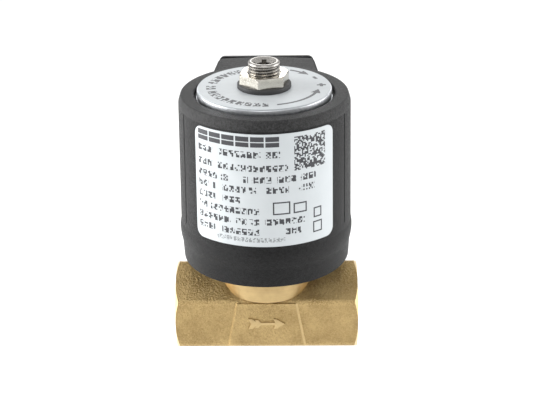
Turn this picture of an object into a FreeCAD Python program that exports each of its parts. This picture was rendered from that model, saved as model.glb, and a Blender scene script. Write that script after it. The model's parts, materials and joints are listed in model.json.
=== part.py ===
import FreeCAD, Part
import math
import os
from FreeCAD import Vector

# Solenoid valve for gas with a flow regulator. Millimetres, +Z up, +X downstream, +Y to the rear.
# The origin is the centre of the inlet port's mouth. The stem that carries the coil stands over
# the middle of the body, and the coil's terminal box is at the rear.

# ---------------------------------------------------------------- driving dimensions
BODY_LENGTH = 59.5
BODY_FLATS = 28.0
STEM_X = BODY_LENGTH / 2

PORT_RADIUS = 8.33
PORT_DEPTH = 13.0
FILTER_SEAT_RADIUS = 8.1
FILTER_SEAT_DEPTH = 11.8
PASSAGE_RADIUS = 3.8
INLET_PASSAGE_Z = 4.4
OUTLET_PASSAGE_Z = -3.4
ORIFICE_RADIUS = 4.0
CHAMBER_RADIUS = 10.5
CHAMBER_FLOOR = 2.5

PAD_PROUD = 0.5
ARROW_LENGTH = 12.0
ARROW_HEIGHT = 3.8
ARROW_RELIEF = 0.4

NECK_RADIUS = 15.5
NECK_ROOT_RADIUS = 13.8
NECK_BLEND = (7.4, 8.6)
NECK_TOP = 18.6
NECK_BORE = 11.0
NECK_BORE_FLOOR = 8.6
SEAL_RECESS_RADIUS = 12.2
SEAL_RECESS_DEPTH = 1.2
BONNET_FLANGE = 12.8
BONNET_TOP = 19.8

SEAT_TOP = 4.95
SEAT_OUTER = 6.0
SEAT_SUNK = 1.3
PLUNGER_SEAL_TOP = 8.0
PLUNGER_SEAL_RADIUS = 5.55
PLUNGER_RADIUS = 6.6
PLUNGER_BOTTOM = 6.5
PLUNGER_TOP = 46.0
PLUNGER_BORE = 3.6
PLUNGER_BORE_FLOOR = 36.0

TUBE_OUTER = 7.3
TUBE_INNER = 6.8
TUBE_BOTTOM = 9.2
TUBE_TOP = 75.9
CORE_BOTTOM = 49.0
SPRING_SEAT = 51.0

REGULATOR_RADIUS = 5.0
REGULATOR_BOTTOM = 64.0
REGULATOR_TOP = 85.3
FREE_THREAD_BOTTOM = 81.8
GUIDE_RADIUS = 4.68
THREAD_BORE = 5.05
PIN_RADIUS = 1.5
PIN_HEAD = 3.0
PIN_TIP = 38.6
SHADING_INNER = 4.6
SHADING_OUTER = 5.8
O_RING_GROOVE = (65.2, 66.6)
O_RING_GROOVE_RADIUS = 3.9
KEY_BORE = 2.45
KEY_SLOT_REACH = 3.15
KEY_SLOT_WIDTH = 1.5

NUT_FLATS = 14.0
NUT_BOTTOM = 78.4
NUT_TOP = 81.6
WASHER_RADIUS = 8.45

DISC_RADIUS = 21.15
DISC_BOTTOM = 73.8
DISC_TOP = 76.5
DIAL_TOP = 76.8

COIL_BOTTOM = 20.0
COIL_TOP = 75.2
BEAD_RADIUS = 27.8
MOUTH_RADIUS = 22.1
GASKET_RADIUS = 12.1
CAVITY_RADIUS = 21.5
CAVITY_FLOOR = 21.5
COIL_BORE = 7.6
YOKE_OUTER = 21.3
YOKE_INNER = 19.3
WALL_LOW = (27.46, 32.9)
WALL_HIGH = (27.06, 72.7)

LABEL_HALF_ANGLE = 50.1
LABEL_LOW = 34.4
LABEL_HIGH = 71.2
LABEL_THICKNESS = 0.15

BOX_LOW = 38.0
BOX_HIGH = 72.0
BOX_REAR = 44.0
BOX_FRONT_HALF = 18.6
BOX_REAR_HALF = 16.4
BOX_WALL = 2.5
BOX_CAVITY_FRONT = 28.6
BOX_CAVITY_HALF = 13.0
COVER_REAR = 46.6
COVER_HALF = 16.2
SCREW_X = 12.4
SCREW_INSET_Z = 4.0
SCREW_RADIUS = 1.5
SCREW_HEAD = 2.6

LEAD_X = (-5.0, 5.0)
LEAD_Z = 66.5
LEAD_RADIUS = 0.6
TERMINAL_X = (-6.6, 0.0, 6.6)
TERMINAL_Z = 53.5
EARTH_Z = 63.0
EARTH_SEAT = 31.6
BLOCK_FACE = 34.6
BLOCK_HALF = 9.4

GLAND_Y = 36.8
GLAND_FLATS = 15.0
GLAND_THREAD = 6.0
CABLE_RADIUS = 3.3

FIT = 0.02
RUNNING = 0.05

UP = Vector(0, 0, 1)
ALONG = Vector(1, 0, 0)
BACK = Vector(0, 1, 0)


# ---------------------------------------------------------------- shared shapes
def post(radius, low, high, x=STEM_X, y=0.0):
    """Upright round bar between two heights."""
    return Part.makeCylinder(radius, high - low, Vector(x, y, low), UP)


def sleeve(outer, inner, low, high, x=STEM_X, y=0.0):
    """Upright tube between two heights."""
    return post(outer, low, high, x, y).cut(post(inner, low - 1, high + 1, x, y))


def rod_along_x(radius, start, end, z=0.0):
    """Round bar parallel to the pipe."""
    return Part.makeCylinder(radius, end - start, Vector(start, 0, z), ALONG)


def rod_along_y(radius, x, z, start, end):
    """Round bar that points to the rear, placed by its offset from the stem."""
    return Part.makeCylinder(radius, end - start, Vector(STEM_X + x, start, z), BACK)


def block(x0, x1, y0, y1, z0, z1):
    """Rectangular block, with x measured from the stem."""
    corner = Vector(STEM_X + x0, y0, z0)
    return Part.makeBox(x1 - x0, y1 - y0, z1 - z0, corner)


def plate(outline, low, high):
    """Upright prism over a plan outline, with x measured from the stem."""
    points = [Vector(STEM_X + x, y, low) for x, y in outline]
    face = Part.Face(Part.makePolygon(points + points[:1]))
    return face.extrude(Vector(0, 0, high - low))


def turned(profile, x=STEM_X, y=0.0, angle=360.0, start=0.0):
    """Solid of revolution about an upright axis, from (radius, height) points."""
    points = [Vector(x + radius, y, height) for radius, height in profile]
    face = Part.Face(Part.makePolygon(points + points[:1]))
    solid = face.revolve(Vector(x, y, 0), UP, angle)
    solid.rotate(Vector(x, y, 0), UP, start)
    return solid


def hex_post(flats, low, high, x=STEM_X, y=0.0, turn=0.0, chamfer=0.6):
    """Upright hexagon with both ends turned down at 30 degrees."""
    corner = flats / math.sqrt(3)
    points = []
    for index in range(6):
        angle = math.radians(turn + 60 * index)
        points.append(Vector(x + corner * math.cos(angle), y + corner * math.sin(angle), low))
    prism = Part.Face(Part.makePolygon(points + points[:1])).extrude(Vector(0, 0, high - low))
    edge = corner - chamfer * math.sqrt(3)
    limits = [(0, low), (edge, low), (corner, low + chamfer), (corner, high - chamfer)]
    return prism.common(turned(limits + [(edge, high), (0, high)], x, y))


def o_ring(centre_radius, section, height, x=STEM_X, y=0.0):
    """Round-section ring lying flat."""
    return Part.makeTorus(centre_radius, section, Vector(x, y, height), UP)


def group(solids):
    """Separate solids that share one node."""
    return Part.makeCompound(solids)


def write(name, shape):
    """One STEP file per sub-part, named after its node."""
    if not shape.isValid():
        raise ValueError(name + " is not a valid shape")
    for solid in shape.Solids:
        if solid.Volume <= 0:
            raise ValueError(name + " has an inside-out solid")
    shape.exportStep("parts/" + name + ".step")
    print(name, len(shape.Solids), "solids", round(shape.Volume, 1), "mm3")


# ---------------------------------------------------------------- brass body and its fittings
def body_bar():
    """Hexagon bar lying along the pipe, an edge up, with 30 degree chamfers at both ends."""
    inner = BODY_FLATS / 2
    corner = BODY_FLATS / math.sqrt(3)
    points = []
    for index in range(6):
        angle = math.radians(30 + 60 * index)
        points.append(Vector(0, corner * math.cos(angle), corner * math.sin(angle)))
    bar = Part.Face(Part.makePolygon(points + points[:1])).extrude(Vector(BODY_LENGTH, 0, 0))
    depth = (corner - inner) * math.tan(math.radians(30))
    outline = [(0, 0), (0, inner), (depth, corner), (BODY_LENGTH - depth, corner)]
    outline += [(BODY_LENGTH, inner), (BODY_LENGTH, 0)]
    corners = [Vector(x, 0, radius) for x, radius in outline]
    envelope = Part.Face(Part.makePolygon(corners + corners[:1])).revolve(Vector(), ALONG, 360)
    return bar.common(envelope)


def body_pad(side):
    """Raised trapezoid on the front (-1) or rear (+1) flat, with sloped flanks, under the neck."""
    face = side * BODY_FLATS / 2
    top_half = 9.4
    foot_half = 12.3
    flank = 0.6
    foot_rise = 0.45
    high = 7.6

    def outline(y, grow):
        low = foot_rise - grow - BODY_FLATS / math.sqrt(12)
        points = [(-foot_half - grow, low), (foot_half + grow, low), (top_half + grow, high)]
        points += [(-top_half - grow, high)]
        corners = [Vector(STEM_X + x, y, z) for x, z in points]
        return Part.makePolygon(corners + corners[:1])

    return Part.makeLoft([outline(face - side, flank), outline(face + side * PAD_PROUD, 0)], True)


def flow_arrow():
    """Cast arrow on the front pad that points downstream: head, shaft and two-barbed tail."""
    half = ARROW_LENGTH / 2
    wide = ARROW_HEIGHT / 2
    shaft = 0.45
    notch = 1.3
    upper = [(half, 0), (half - 2.6, wide), (half - 3.3, wide * 0.75), (half - 3.0, shaft)]
    upper += [(notch - half + 1.6, shaft), (notch - half + 0.4, wide), (-half, wide)]
    upper += [(notch - half, 0)]
    lower = [(x, -z) for x, z in reversed(upper[1:-1])]
    y = -BODY_FLATS / 2 - PAD_PROUD + 0.2
    corners = [Vector(STEM_X + x, y, 0.5 + z) for x, z in upper + lower]
    face = Part.Face(Part.makePolygon(corners + corners[:1]))
    return face.extrude(Vector(0, -ARROW_RELIEF - 0.2, 0))


def neck():
    """Round neck, a little wider than the bar, that runs out on a cone above the pads."""
    blend_low, blend_high = NECK_BLEND
    profile = [(0, 0), (NECK_ROOT_RADIUS, 0), (NECK_ROOT_RADIUS, blend_low)]
    return turned(profile + [(NECK_RADIUS, blend_high), (NECK_RADIUS, NECK_TOP), (0, NECK_TOP)])


def valve_body():
    body = body_bar().fuse([body_pad(-1), body_pad(1), neck(), flow_arrow()])
    chamber = post(CHAMBER_RADIUS, CHAMBER_FLOOR, NECK_TOP + 1)
    neck_thread = post(NECK_BORE, NECK_BORE_FLOOR, NECK_TOP + 1)
    seal_recess = post(SEAL_RECESS_RADIUS, NECK_TOP - SEAL_RECESS_DEPTH, NECK_TOP + 1)
    seat_recess = post(SEAT_OUTER, CHAMBER_FLOOR - SEAT_SUNK, CHAMBER_FLOOR + 1)
    orifice = post(ORIFICE_RADIUS, OUTLET_PASSAGE_Z, CHAMBER_FLOOR)
    inlet = rod_along_x(PASSAGE_RADIUS, PORT_DEPTH - 1, STEM_X - 8.5, INLET_PASSAGE_Z)
    outlet = rod_along_x(PASSAGE_RADIUS, STEM_X, BODY_LENGTH - PORT_DEPTH + 1, OUTLET_PASSAGE_Z)
    turn_down = Part.makeSphere(PASSAGE_RADIUS + 0.2, Vector(STEM_X, 0, OUTLET_PASSAGE_Z))
    filter_seat = rod_along_x(FILTER_SEAT_RADIUS, FILTER_SEAT_DEPTH - 1, PORT_DEPTH)
    ports = [rod_along_x(PORT_RADIUS, -1, FILTER_SEAT_DEPTH), filter_seat]
    ports.append(rod_along_x(PORT_RADIUS, BODY_LENGTH - PORT_DEPTH, BODY_LENGTH + 1))
    spaces = [chamber, neck_thread, seal_recess, seat_recess, orifice, inlet, outlet, turn_down]
    return body.cut(spaces + ports).removeSplitter()


def seat_ring():
    """Stainless seat pressed in the chamber floor, with a narrow raised lip."""
    low = CHAMBER_FLOOR - SEAT_SUNK + FIT
    outer = SEAT_OUTER - FIT
    profile = [(ORIFICE_RADIUS, low), (outer, low), (outer, SEAT_TOP - 1.2), (5.0, SEAT_TOP)]
    return turned(profile + [(4.5, SEAT_TOP), (ORIFICE_RADIUS, SEAT_TOP - 0.5)])


def inlet_filter():
    """Wire strainer cup: a rim held at the bottom of the inlet port and a perforated end."""
    rim_outer = FILTER_SEAT_RADIUS - FIT
    start = FILTER_SEAT_DEPTH + FIT
    end = PORT_DEPTH - FIT
    rim = rod_along_x(rim_outer, start, end).cut(rod_along_x(7.0, start - 1, end + 1))
    screen = rod_along_x(7.2, end - 0.5, end - 0.1)
    holes = []
    for ring_radius, count in ((0.0, 1), (2.6, 6), (5.2, 12)):
        for index in range(count):
            angle = 2 * math.pi * index / count
            centre = Vector(start, ring_radius * math.cos(angle), ring_radius * math.sin(angle))
            holes.append(Part.makeCylinder(0.95, 2, centre, ALONG))
    return rim.fuse(screen.cut(holes)).removeSplitter()


def bonnet():
    """Brass plug screwed into the neck; its flange carries the armature tube and two key slots."""
    bore = TUBE_OUTER + FIT
    threaded = NECK_BORE - RUNNING
    profile = [(bore, TUBE_BOTTOM), (threaded, TUBE_BOTTOM), (threaded, NECK_TOP)]
    profile += [(BONNET_FLANGE, NECK_TOP), (BONNET_FLANGE, BONNET_TOP), (bore, BONNET_TOP)]
    slots = [block(-1.2, 1.2, 9.6, 14, NECK_TOP + 0.3, BONNET_TOP + 1)]
    slots.append(block(-1.2, 1.2, -14, -9.6, NECK_TOP + 0.3, BONNET_TOP + 1))
    return turned(profile).cut(slots)


def armature_tube():
    """Thin stainless tube, rolled in over the fixed core at its top."""
    profile = [(TUBE_INNER, TUBE_BOTTOM), (TUBE_OUTER, TUBE_BOTTOM), (TUBE_OUTER, TUBE_TOP - 0.4)]
    profile += [(TUBE_OUTER - 0.4, TUBE_TOP), (TUBE_INNER - 0.8, TUBE_TOP)]
    profile += [(TUBE_INNER - 0.8, TUBE_TOP - 0.4), (TUBE_INNER, TUBE_TOP - 0.5)]
    return turned(profile)


def fixed_core():
    """Pole piece: spring seat and shading groove below, regulator thread above."""
    core = post(TUBE_INNER - FIT, CORE_BOTTOM, TUBE_TOP - 0.5)
    spring_recess = post(PLUNGER_BORE, CORE_BOTTOM - 1, SPRING_SEAT)
    groove = sleeve(SHADING_OUTER + FIT, SHADING_INNER - FIT, CORE_BOTTOM - 1, CORE_BOTTOM + 1.5)
    pin_bore = post(PIN_RADIUS + 0.1, CORE_BOTTOM, REGULATOR_BOTTOM)
    thread = post(THREAD_BORE, REGULATOR_BOTTOM - 3, TUBE_TOP)
    return core.cut([spring_recess, groove, pin_bore, thread])


def return_spring():
    """Compression spring between the plunger's bore floor and the core's seat."""
    wire = 0.4
    low = PLUNGER_BORE_FLOOR + wire + 0.05
    high = SPRING_SEAT - wire - 0.05
    turns = 6.5
    coil_radius = 2.9
    helix = Part.makeHelix((high - low) / turns, high - low, coil_radius)
    start = Part.Wire(Part.makeCircle(wire, Vector(coil_radius, 0, 0), BACK))
    spring = Part.Wire(helix).makePipeShell([start], True, True)
    spring.translate(Vector(STEM_X, 0, low))
    return spring


# ---------------------------------------------------------------- moving armature and regulator
def plunger():
    """Magnetic steel armature with two flow grooves, a spring bore above and a seal recess below."""
    bar = post(PLUNGER_RADIUS, PLUNGER_BOTTOM, PLUNGER_TOP)
    bore = post(PLUNGER_BORE, PLUNGER_BORE_FLOOR, PLUNGER_TOP + 1)
    recess = post(PLUNGER_SEAL_RADIUS + RUNNING, PLUNGER_BOTTOM - 1, PLUNGER_SEAL_TOP)
    grooves = [block(-1, 1, 5.4, 8, 0, 50), block(-1, 1, -8, -5.4, 0, 50)]
    grooves = [groove.common(post(9, 10, PLUNGER_TOP + 1)) for groove in grooves]
    return bar.cut([bore, recess] + grooves)


def stop_pin():
    """Pin that limits the plunger's lift, pushed down by the regulator."""
    head = post(PIN_HEAD, REGULATOR_BOTTOM - 1.5, REGULATOR_BOTTOM)
    return post(PIN_RADIUS, PIN_TIP, REGULATOR_BOTTOM).fuse(head).removeSplitter()


def regulator_sleeve():
    """M10 x 1 screw with a seal groove near its foot and a four-slot key socket in its top.

    It has its pitch radius where it runs in the core and the nut, and its full radius above them.
    """
    rim = 0.5
    foot = REGULATOR_RADIUS - 0.4
    groove_low, groove_high = O_RING_GROOVE
    profile = [(0, REGULATOR_BOTTOM), (foot, REGULATOR_BOTTOM), (foot, groove_low)]
    profile += [(O_RING_GROOVE_RADIUS, groove_low), (O_RING_GROOVE_RADIUS, groove_high)]
    profile += [(GUIDE_RADIUS, groove_high), (GUIDE_RADIUS, FREE_THREAD_BOTTOM)]
    profile += [(REGULATOR_RADIUS, FREE_THREAD_BOTTOM), (REGULATOR_RADIUS, REGULATOR_TOP - rim)]
    screw = turned(profile + [(REGULATOR_RADIUS - rim, REGULATOR_TOP), (0, REGULATOR_TOP)])
    socket_floor = REGULATOR_TOP - 6.5
    socket = post(KEY_BORE, socket_floor, REGULATOR_TOP + 1)
    half = KEY_SLOT_WIDTH / 2
    reach = KEY_SLOT_REACH
    slots = [block(-reach, reach, -half, half, socket_floor + 2, REGULATOR_TOP + 1)]
    slots.append(block(-half, half, -reach, reach, socket_floor + 2, REGULATOR_TOP + 1))
    return screw.cut([socket] + slots)


def lock_nut():
    """Thin hexagon nut, M10 x 1, 14 mm across flats."""
    return hex_post(NUT_FLATS, NUT_BOTTOM, NUT_TOP, turn=18.0, chamfer=0.45).cut(
        post(THREAD_BORE, NUT_BOTTOM - 1, NUT_TOP + 1))


# ---------------------------------------------------------------- coil and its iron circuit
def box_plan(grow=0.0):
    """Plan outline of the terminal box, from inside the coil to its rear face."""
    half = [(BOX_FRONT_HALF + grow, 18.0), (BOX_FRONT_HALF + grow, 29.0), (BOX_REAR_HALF + grow, BOX_REAR)]
    return half + [(-x, y) for x, y in reversed(half)]


def screw_places():
    """Offsets of the four cover screws."""
    places = []
    for x in (-SCREW_X, SCREW_X):
        for z in (BOX_LOW + SCREW_INSET_Z, BOX_HIGH - SCREW_INSET_Z):
            places.append((x, z))
    return places


def housing_shell():
    """Moulded drum: drafted wall, bead round the foot, sloped shoulder under the rim."""
    step = DISC_BOTTOM - 0.2
    profile = [(GASKET_RADIUS + 0.1, COIL_BOTTOM), (26.2, COIL_BOTTOM), (26.8, COIL_BOTTOM + 0.6)]
    profile += [(27.15, 26.0), (BEAD_RADIUS, 28.6), (BEAD_RADIUS, 31.8), WALL_LOW, WALL_HIGH]
    profile += [(26.35, COIL_TOP - 0.2), (26.1, COIL_TOP), (MOUTH_RADIUS, COIL_TOP), (MOUTH_RADIUS, step)]
    profile += [(CAVITY_RADIUS, step), (CAVITY_RADIUS, CAVITY_FLOOR), (GASKET_RADIUS + 0.1, CAVITY_FLOOR)]
    return turned(profile)


def coil_housing():
    box = plate(box_plan(), BOX_LOW, BOX_HIGH)
    upright = []
    for edge in box.Edges:
        middle = edge.BoundBox
        if middle.ZLength > 30 and middle.YMin > BOX_REAR - 0.1:
            upright.append(edge)
    box = box.makeFillet(2.0, upright)
    body = housing_shell().fuse(box.cut(post(26.5, BOX_LOW - 1, BOX_HIGH + 1)))
    cavity = block(-BOX_CAVITY_HALF, BOX_CAVITY_HALF, BOX_CAVITY_FRONT, BOX_REAR + 1,
                   BOX_LOW + BOX_WALL, BOX_HIGH - BOX_WALL)
    bosses = [rod_along_y(2.8, x, z, 33.0, BOX_REAR) for x, z in screw_places()]
    cavity = cavity.cut(bosses)
    thread = SCREW_RADIUS + RUNNING
    screw_holes = [rod_along_y(thread, x, z, 35.0, BOX_REAR + 1) for x, z in screw_places()]
    pin_holes = [rod_along_y(LEAD_RADIUS + RUNNING, x, LEAD_Z, 18.5, 29.0) for x in LEAD_X]
    gland_hole = post(GLAND_THREAD + FIT, BOX_LOW - 1, BOX_LOW + BOX_WALL + 1, y=GLAND_Y)
    return body.cut([cavity, gland_hole] + screw_holes + pin_holes).removeSplitter()


def coil_gasket():
    """Rubber ring between the coil and the bonnet."""
    return sleeve(GASKET_RADIUS, COIL_BORE, COIL_BOTTOM - 0.1, CAVITY_FLOOR - RUNNING)


def bottom_plate():
    return sleeve(YOKE_OUTER, COIL_BORE, CAVITY_FLOOR, 24.0 - FIT)


def yoke_can():
    """Steel tube that returns the flux, notched at the rear for the leads."""
    can = sleeve(YOKE_OUTER, YOKE_INNER, 24.0, DISC_BOTTOM - FIT)
    return can.cut(block(-9, 9, 10, 25, 64, DISC_BOTTOM + 1))


def top_plate():
    """Zinc plated disc that closes the iron circuit; its rim shows above the housing."""
    edge = 0.25
    profile = [(COIL_BORE, DISC_BOTTOM), (DISC_RADIUS, DISC_BOTTOM), (DISC_RADIUS, DISC_TOP - edge)]
    return turned(profile + [(DISC_RADIUS - edge, DISC_TOP), (COIL_BORE, DISC_TOP)])


def dial_label():
    """Printed ring on the disc that shows which way to turn the regulator."""
    return sleeve(DISC_RADIUS - 0.35, 8.0, DISC_TOP, DIAL_TOP)


def rating_label():
    """Thin sheet stuck round the front of the drafted wall."""
    slope = (WALL_HIGH[0] - WALL_LOW[0]) / (WALL_HIGH[1] - WALL_LOW[1])
    low_radius = WALL_LOW[0] + slope * (LABEL_LOW - WALL_LOW[1]) + 0.01
    high_radius = WALL_LOW[0] + slope * (LABEL_HIGH - WALL_LOW[1]) + 0.01
    profile = [(low_radius, LABEL_LOW), (low_radius + LABEL_THICKNESS, LABEL_LOW)]
    profile += [(high_radius + LABEL_THICKNESS, LABEL_HIGH), (high_radius, LABEL_HIGH)]
    return turned(profile, angle=2 * LABEL_HALF_ANGLE, start=-90 - LABEL_HALF_ANGLE)


def bobbin():
    """Glass-filled former with a flange at each end."""
    flange = 18.8
    low = 24.2
    high = 73.5
    thick = 1.7
    hub = 8.9
    profile = [(COIL_BORE, low), (flange, low), (flange, low + thick), (hub, low + thick)]
    profile += [(hub, high - thick), (flange, high - thick), (flange, high), (COIL_BORE, high)]
    return turned(profile)


def winding():
    return sleeve(18.0, 8.9 + FIT, 25.95, 71.75)


def sealing_washer():
    """Rubber washer under the lock nut, bevelled at its upper edge."""
    bore = REGULATOR_RADIUS + 0.2
    profile = [(bore, DIAL_TOP), (WASHER_RADIUS, DIAL_TOP), (WASHER_RADIUS, NUT_BOTTOM - 0.6)]
    return turned(profile + [(WASHER_RADIUS - 0.4, NUT_BOTTOM - 0.05), (bore, NUT_BOTTOM - 0.05)])


# ---------------------------------------------------------------- terminal box
def lead_pins():
    """Two stiff leads from the winding to the terminal block."""
    return group([rod_along_y(LEAD_RADIUS, x, LEAD_Z, 18.2, 31.0) for x in LEAD_X])


def terminal_block():
    front = BOX_CAVITY_FRONT + FIT
    solid = block(-BLOCK_HALF, BLOCK_HALF, front, BLOCK_FACE, 47, 68)
    pockets = [block(x - 2.4, x + 2.4, 30.4, BLOCK_FACE + 1, 49.5, 57.5) for x in TERMINAL_X]
    pin_holes = [rod_along_y(LEAD_RADIUS + RUNNING, x, LEAD_Z, front - 1, 31.2) for x in LEAD_X]
    earth_seat = rod_along_y(3.2, 0, EARTH_Z, EARTH_SEAT, BLOCK_FACE + 1)
    return solid.cut(pockets + pin_holes + [earth_seat])


def terminal_clamps():
    """Brass wire cages, one in each pocket, open towards the cable."""
    clamps = []
    for x in TERMINAL_X:
        cage = block(x - 2.3, x + 2.3, 30.45, BLOCK_FACE - 0.2, 50, 57.4)
        wire_hole = post(1.5, 49, 56.4, STEM_X + x, 32.0)
        screw_hole = rod_along_y(1.25 + FIT, x, TERMINAL_Z, 32.5, BLOCK_FACE + 1)
        clamps.append(cage.cut([wire_hole, screw_hole]))
    return group(clamps)


def slotted_screw(radius, head_radius, x, z, tip, seat, head):
    """Cheese-head screw that points forward, its slot upright."""
    shank = rod_along_y(radius, x, z, tip, seat)
    cap = rod_along_y(head_radius, x, z, seat, seat + head)
    slot = block(x - 0.3, x + 0.3, seat + head * 0.5, seat + head + 1, z - 5, z + 5)
    return shank.fuse(cap).cut(slot)


def terminal_screws():
    seat = BLOCK_FACE - 0.18
    return group([slotted_screw(1.25, 2.1, x, TERMINAL_Z, 33.0, seat, 1.4) for x in TERMINAL_X])


def earth_terminal():
    """Earth screw with its clamp washer, between the leads."""
    top = EARTH_SEAT + 0.8
    hole = rod_along_y(SCREW_RADIUS + 0.1, 0, EARTH_Z, EARTH_SEAT - 1, top + 1)
    washer = rod_along_y(3.1, 0, EARTH_Z, EARTH_SEAT + FIT, top).cut(hole)
    screw = slotted_screw(SCREW_RADIUS, SCREW_HEAD, 0, EARTH_Z, EARTH_SEAT + RUNNING, top + FIT, 1.8)
    return group([washer, screw])


def cover_gasket():
    """Flat rubber frame between box and cover."""
    frame = block(-15.6, 15.6, BOX_REAR + FIT, BOX_REAR + 0.5, BOX_LOW + 0.6, BOX_HIGH - 0.6)
    window = block(-10.2, 10.2, BOX_REAR - 1, BOX_REAR + 1, BOX_LOW + 6.4, BOX_HIGH - 6.4)
    holes = [rod_along_y(1.7, x, z, BOX_REAR - 1, BOX_REAR + 1) for x, z in screw_places()]
    return frame.cut([window] + holes)


def terminal_cover():
    """Plate that closes the terminal box, rounded at its rear edges."""
    face = block(-COVER_HALF, COVER_HALF, BOX_REAR + 0.55, COVER_REAR, BOX_LOW, BOX_HIGH)
    rear = [edge for edge in face.Edges if edge.BoundBox.YMin > COVER_REAR - 0.01]
    sides = [edge for edge in face.Edges if edge.BoundBox.YLength > 1.5]
    face = face.makeFillet(1.0, sides + rear)
    cuts = []
    for x, z in screw_places():
        cuts.append(rod_along_y(SCREW_RADIUS + 0.1, x, z, BOX_REAR, COVER_REAR + 1))
        cuts.append(rod_along_y(SCREW_HEAD + 0.15, x, z, COVER_REAR - 1.5, COVER_REAR + 1))
    return face.cut(cuts)


def cover_screws():
    seat = COVER_REAR - 1.5 + FIT
    return group([slotted_screw(SCREW_RADIUS, SCREW_HEAD, x, z, 36.0, seat, 1.4) for x, z in screw_places()])


def gland_body():
    """Cable gland body: two threads with a hexagon between them."""
    flange = hex_post(GLAND_FLATS, 33.2, BOX_LOW - 0.8, y=GLAND_Y)
    thread = post(GLAND_THREAD - FIT, 25.5, BOX_LOW + 5.5, y=GLAND_Y)
    bore = post(CABLE_RADIUS + 0.4, 20, 50, y=GLAND_Y)
    seal_seat = post(5.0, 20, 31.0, y=GLAND_Y)
    return flange.fuse(thread).cut([bore, seal_seat]).removeSplitter()


def gland_washer():
    return sleeve(7.0, GLAND_THREAD + RUNNING, BOX_LOW - 0.8 + FIT, BOX_LOW - FIT, y=GLAND_Y)


def gland_seal():
    return sleeve(4.95, CABLE_RADIUS, 25.6, 30.95, y=GLAND_Y)


def gland_nut():
    """Domed hexagon nut that squeezes the seal round the cable."""
    low = 23.2
    nut = hex_post(GLAND_FLATS, low, 32.9, y=GLAND_Y, turn=12.0, chamfer=0.8)
    thread = post(GLAND_THREAD + RUNNING, low + 2.0, 40, y=GLAND_Y)
    return nut.cut([thread, post(CABLE_RADIUS + 0.4, 20, 40, y=GLAND_Y)])


# ---------------------------------------------------------------- build
def build():
    write("valve_body", valve_body())
    write("seat_ring", seat_ring())
    write("inlet_filter", inlet_filter())
    write("bonnet", bonnet())
    write("bonnet_seal", o_ring((NECK_BORE + SEAL_RECESS_RADIUS) / 2, 0.55, NECK_TOP - 0.6))
    write("armature_tube", armature_tube())
    write("fixed_core", fixed_core())
    write("shading_ring", sleeve(SHADING_OUTER, SHADING_INNER, CORE_BOTTOM, CORE_BOTTOM + 1.45))
    write("return_spring", return_spring())
    write("plunger", plunger())
    write("plunger_seal", post(PLUNGER_SEAL_RADIUS, SEAT_TOP + RUNNING, PLUNGER_SEAL_TOP - FIT))
    write("stop_pin", stop_pin())
    write("regulator_sleeve", regulator_sleeve())
    write("regulator_seal", o_ring(4.5, 0.53, sum(O_RING_GROOVE) / 2))
    write("lock_nut", lock_nut())
    write("sealing_washer", sealing_washer())
    write("coil_housing", coil_housing())
    write("coil_gasket", coil_gasket())
    write("bottom_plate", bottom_plate())
    write("yoke_can", yoke_can())
    write("top_plate", top_plate())
    write("dial_label", dial_label())
    write("rating_label", rating_label())
    write("bobbin", bobbin())
    write("winding", winding())
    write("lead_pins", lead_pins())
    write("terminal_block", terminal_block())
    write("terminal_clamps", terminal_clamps())
    write("terminal_screws", terminal_screws())
    write("earth_terminal", earth_terminal())
    write("cover_gasket", cover_gasket())
    write("terminal_cover", terminal_cover())
    write("cover_screws", cover_screws())
    write("gland_body", gland_body())
    write("gland_washer", gland_washer())
    write("gland_seal", gland_seal())
    write("gland_nut", gland_nut())


os.makedirs("parts", exist_ok=True)
build()
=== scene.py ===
import json
import math

import bmesh
import bpy
from mathutils import Matrix, Vector


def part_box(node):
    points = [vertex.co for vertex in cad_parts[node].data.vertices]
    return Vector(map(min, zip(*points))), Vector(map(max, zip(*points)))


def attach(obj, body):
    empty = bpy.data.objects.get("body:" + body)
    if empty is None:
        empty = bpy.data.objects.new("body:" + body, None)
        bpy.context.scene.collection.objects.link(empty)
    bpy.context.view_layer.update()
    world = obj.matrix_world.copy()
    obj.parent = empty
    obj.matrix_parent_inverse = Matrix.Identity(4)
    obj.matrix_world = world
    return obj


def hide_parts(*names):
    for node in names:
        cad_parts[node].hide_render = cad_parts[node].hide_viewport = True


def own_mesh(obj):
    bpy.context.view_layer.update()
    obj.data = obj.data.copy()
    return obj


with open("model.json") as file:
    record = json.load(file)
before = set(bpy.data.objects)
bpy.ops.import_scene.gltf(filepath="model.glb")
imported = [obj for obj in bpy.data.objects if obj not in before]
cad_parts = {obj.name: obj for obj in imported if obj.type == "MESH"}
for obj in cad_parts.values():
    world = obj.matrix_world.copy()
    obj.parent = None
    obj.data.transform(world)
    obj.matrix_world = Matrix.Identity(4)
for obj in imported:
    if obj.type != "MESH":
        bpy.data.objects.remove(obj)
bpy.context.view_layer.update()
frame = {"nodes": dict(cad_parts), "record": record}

# ---- Studio --------------------------------------------------------------------------------
# The valve is held level by its inlet, well above a plain white floor, between broad soft lights.
# The camera stands about 48 cm off and looks down at it, almost square to the pipe.
mm = 0.001
body_low, body_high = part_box("valve_body")
stem_x = (body_low.x + body_high.x) / 2
stem = Vector((stem_x, 0, 0))

scene = bpy.context.scene
scene.view_settings.view_transform = "Standard"

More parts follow.
